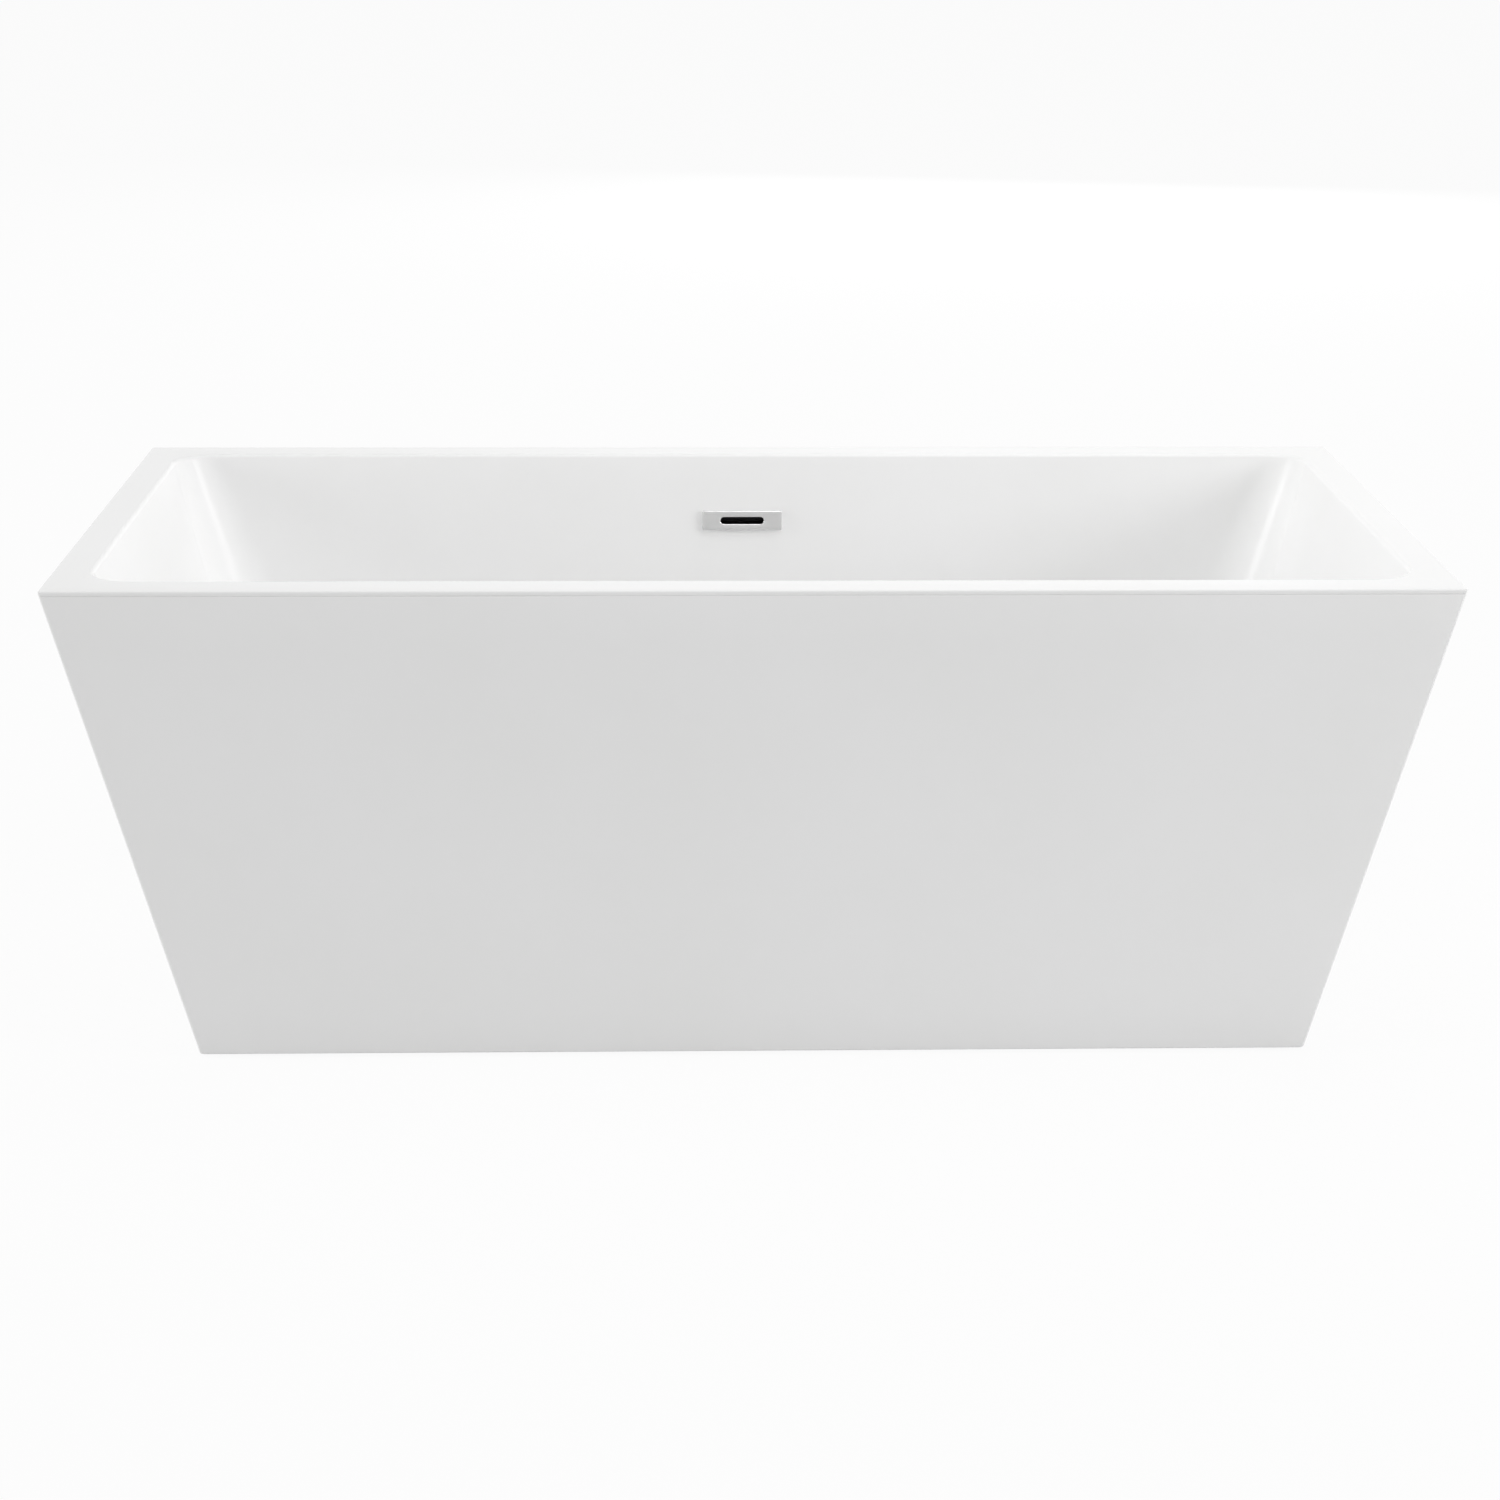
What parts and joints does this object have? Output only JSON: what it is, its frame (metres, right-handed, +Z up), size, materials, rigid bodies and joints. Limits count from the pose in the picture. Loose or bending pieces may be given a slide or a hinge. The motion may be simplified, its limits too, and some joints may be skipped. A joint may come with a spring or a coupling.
{
  "type": "freestanding bathtub",
  "caption": "Freestanding double-walled acrylic bathtub, rectangular rim, ends leaning in to a shorter foot, slotted overflow, pop-up waste, steel underframe on levelling feet.",
  "frame": {"origin": "on the floor, under the middle of the tub", "axes": "+X along the tub, +Y towards the back wall, which holds the overflow, +Z up"},
  "size_m": [1.7, 0.8, 0.6],
  "materials": {
    "acrylic": "glossy white sanitary acrylic",
    "chrome": "polished chrome",
    "galvanised_steel": "galvanised",
    "zinc_steel": "bright zinc plate",
    "brass": "machined",
    "board": "raw chipboard",
    "timber": "sawn softwood",
    "rubber": "matt",
    "black_plastic": "matt moulded nylon",
    "white_pvc": "matt white pipe plastic"
  },
  "bodies": {
    "tub": {"basin": "acrylic", "skirt": "acrylic", "base_board": "board", "rim_batten_front": "timber", "rim_batten_back": "timber", "rim_batten_left": "timber", "rim_batten_right": "timber", "frame_rail_front": "galvanised_steel", "frame_rail_back": "galvanised_steel", "frame_rail_center": "galvanised_steel", "frame_cross_left": "galvanised_steel", "frame_cross_right": "galvanised_steel", "tube_caps": "black_plastic", "board_screws": "zinc_steel", "skirt_brackets": "galvanised_steel", "bracket_screws": "zinc_steel", "overflow_cover": "chrome", "overflow_plate": "black_plastic", "overflow_screws": "zinc_steel", "overflow_gasket": "rubber", "overflow_housing": "black_plastic", "overflow_tube": "white_pvc", "overflow_elbow": "white_pvc", "overflow_branch": "white_pvc", "slip_nuts": "white_pvc", "slip_washers": "rubber", "waste_flange": "chrome", "waste_gasket": "rubber", "waste_washer": "white_pvc", "waste_locknut": "brass", "waste_tee": "white_pvc", "outlet_tailpiece": "white_pvc", "union_nut": "white_pvc", "union_washer": "rubber", "stopper_cartridge": "brass", "stopper_spring": "zinc_steel"},
    "stopper": {"stopper_cap": "chrome", "stopper_seal": "rubber", "stopper_stem": "zinc_steel"},
    "foot_front_left": {"foot_rod_front_left": "zinc_steel", "foot_pad_front_left": "black_plastic"},
    "nuts_front_left": {"foot_nuts_front_left": "zinc_steel"},
    "foot_front_right": {"foot_rod_front_right": "zinc_steel", "foot_pad_front_right": "black_plastic"},
    "nuts_front_right": {"foot_nuts_front_right": "zinc_steel"},
    "foot_back_left": {"foot_rod_back_left": "zinc_steel", "foot_pad_back_left": "black_plastic"},
    "nuts_back_left": {"foot_nuts_back_left": "zinc_steel"},
    "foot_back_right": {"foot_rod_back_right": "zinc_steel", "foot_pad_back_right": "black_plastic"},
    "nuts_back_right": {"foot_nuts_back_right": "zinc_steel"},
    "foot_center": {"foot_rod_center": "zinc_steel", "foot_pad_center": "black_plastic"},
    "nuts_center": {"foot_nuts_center": "zinc_steel"}
  },
  "joints": [
    {"name": "stopper_lift", "type": "slide", "parent": "tub", "child": "stopper", "axis": [0, 0, 1], "range_m": [0, 0.01], "deforming": ["stopper_spring"]},
    {"name": "nut_spin_front_left", "type": "hinge", "parent": "tub", "child": "nuts_front_left", "pos_m": [-0.4503, -0.3, 0.074], "axis": [0, 0, 1], "range_deg": [-825, 4116]},
    {"name": "foot_slide_front_left", "type": "slide", "parent": "tub", "child": "foot_front_left", "axis": [0, 0, 1], "range_m": [-0.02, 0.004]},
    {"name": "nut_spin_front_right", "type": "hinge", "parent": "tub", "child": "nuts_front_right", "pos_m": [0.4503, -0.3, 0.074], "axis": [0, 0, 1], "range_deg": [-825, 4116]},
    {"name": "foot_slide_front_right", "type": "slide", "parent": "tub", "child": "foot_front_right", "axis": [0, 0, 1], "range_m": [-0.02, 0.004]},
    {"name": "nut_spin_back_left", "type": "hinge", "parent": "tub", "child": "nuts_back_left", "pos_m": [-0.4503, 0.3, 0.074], "axis": [0, 0, 1], "range_deg": [-825, 4116]},
    {"name": "foot_slide_back_left", "type": "slide", "parent": "tub", "child": "foot_back_left", "axis": [0, 0, 1], "range_m": [-0.02, 0.004]},
    {"name": "nut_spin_back_right", "type": "hinge", "parent": "tub", "child": "nuts_back_right", "pos_m": [0.4503, 0.3, 0.074], "axis": [0, 0, 1], "range_deg": [-825, 4116]},
    {"name": "foot_slide_back_right", "type": "slide", "parent": "tub", "child": "foot_back_right", "axis": [0, 0, 1], "range_m": [-0.02, 0.004]},
    {"name": "nut_spin_center", "type": "hinge", "parent": "tub", "child": "nuts_center", "pos_m": [0, -0.06, 0.074], "axis": [0, 0, 1], "range_deg": [-825, 4116]},
    {"name": "foot_slide_center", "type": "slide", "parent": "tub", "child": "foot_center", "axis": [0, 0, 1], "range_m": [-0.02, 0.004]}
  ],
  "couplings": [
    {"joint": "nut_spin_front_left", "follows": "foot_slide_front_left", "rad_per_m": -3590.4},
    {"joint": "nut_spin_front_right", "follows": "foot_slide_front_right", "rad_per_m": -3590.4},
    {"joint": "nut_spin_back_left", "follows": "foot_slide_back_left", "rad_per_m": -3590.4},
    {"joint": "nut_spin_back_right", "follows": "foot_slide_back_right", "rad_per_m": -3590.4},
    {"joint": "nut_spin_center", "follows": "foot_slide_center", "rad_per_m": -3590.4}
  ]
}
